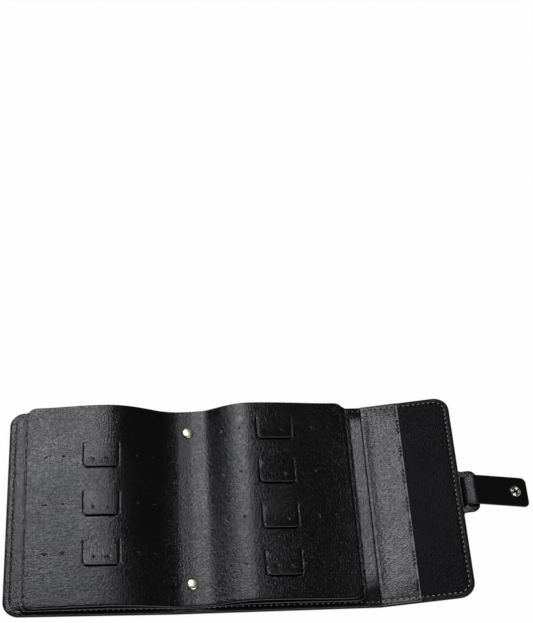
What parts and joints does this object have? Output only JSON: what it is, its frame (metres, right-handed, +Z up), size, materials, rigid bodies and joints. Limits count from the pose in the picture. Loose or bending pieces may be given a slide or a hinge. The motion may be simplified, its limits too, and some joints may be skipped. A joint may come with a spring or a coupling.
{
  "type": "earring book",
  "caption": "Leather book with a wrap flap, belt and snap, lying open, with leaves punched for earrings and die-cut tabs.",
  "frame": {"origin": "middle of the binding line between the two post screws, on the underside of the belt", "axes": "+X across the open book from the front cover to the flap, +Y along the spine to the head of the book, +Z up from the table"},
  "size_m": [0.4578, 0.2, 0.0233],
  "materials": {
    "cover_leather": "fine pebble grain, satin black",
    "lining_leather": "fine pebble grain, satin black",
    "leaf_leather": "fine pebble grain, satin black",
    "belt_leather": "fine pebble grain, satin black",
    "board": "grey board",
    "snap_metal": "polished nickel",
    "screw_brass": "polished pale gold"
  },
  "bodies": {
    "back_cover": {"back_cover_leather": "cover_leather", "back_lining": "lining_leather", "back_board": "board", "back_belt": "belt_leather"},
    "spine": {"spine_leather": "cover_leather", "spine_lining": "lining_leather", "spine_belt": "belt_leather", "binding_barrel_1": "screw_brass", "binding_barrel_2": "screw_brass", "binding_screw_1": "screw_brass", "binding_screw_2": "screw_brass", "lower_leaf_middle": "leaf_leather", "upper_leaf_middle": "leaf_leather"},
    "front_cover": {"front_cover_leather": "cover_leather", "front_lining": "lining_leather", "front_board": "board", "front_belt": "belt_leather", "snap_stud": "snap_metal", "stud_post": "snap_metal", "lower_left_page": "leaf_leather", "upper_left_page": "leaf_leather"},
    "gusset": {"gusset_leather": "cover_leather", "pocket_panel": "lining_leather", "gusset_belt": "belt_leather"},
    "flap": {"flap_leather": "cover_leather", "flap_lining": "lining_leather", "flap_belt": "belt_leather"},
    "strap": {"strap_end": "belt_leather", "snap_cap": "snap_metal", "snap_socket": "snap_metal"},
    "upper_page": {"upper_right_page": "leaf_leather"},
    "lower_page": {"lower_right_page": "leaf_leather"}
  },
  "joints": [
    {"name": "spine_fold", "type": "hinge", "parent": "back_cover", "child": "spine", "pos_m": [0.0129, 0, 0.004], "axis": [0, 1, 0], "range_deg": [0, 90], "deforming": ["upper_left_page", "lower_left_page", "upper_right_page", "lower_right_page"]},
    {"name": "front_fold", "type": "hinge", "parent": "spine", "child": "front_cover", "pos_m": [-0.0161, 0, 0.004], "axis": [0, 1, 0], "range_deg": [0, 88]},
    {"name": "crease_fold", "type": "hinge", "parent": "back_cover", "child": "gusset", "pos_m": [0.1575, 0, 0.004], "axis": [0, -1, 0], "range_deg": [0, 79]},
    {"name": "flap_fold", "type": "hinge", "parent": "gusset", "child": "flap", "pos_m": [0.19284, 0, 0.01087], "axis": [0, -1, 0], "range_deg": [0, 90]},
    {"name": "strap_fold", "type": "hinge", "parent": "flap", "child": "strap", "pos_m": [0.25298, 0, 0.02246], "axis": [0, -1, 0], "range_deg": [0, 22]},
    {"name": "page_turn", "type": "hinge", "parent": "back_cover", "child": "upper_page", "pos_m": [0.0129, 0, 0.0061], "axis": [0, 1, 0], "range_deg": [-140, 0]},
    {"name": "lower_page_turn", "type": "hinge", "parent": "back_cover", "child": "lower_page", "pos_m": [0.0129, 0, 0.0048], "axis": [0, 1, 0], "range_deg": [-119, 0]}
  ],
  "couplings": [
    {"joint": "front_fold", "follows": "spine_fold", "ratio": 0.97772},
    {"joint": "flap_fold", "follows": "crease_fold", "ratio": 1.1392},
    {"joint": "lower_page_turn", "follows": "page_turn", "ratio": 0.85}
  ]
}
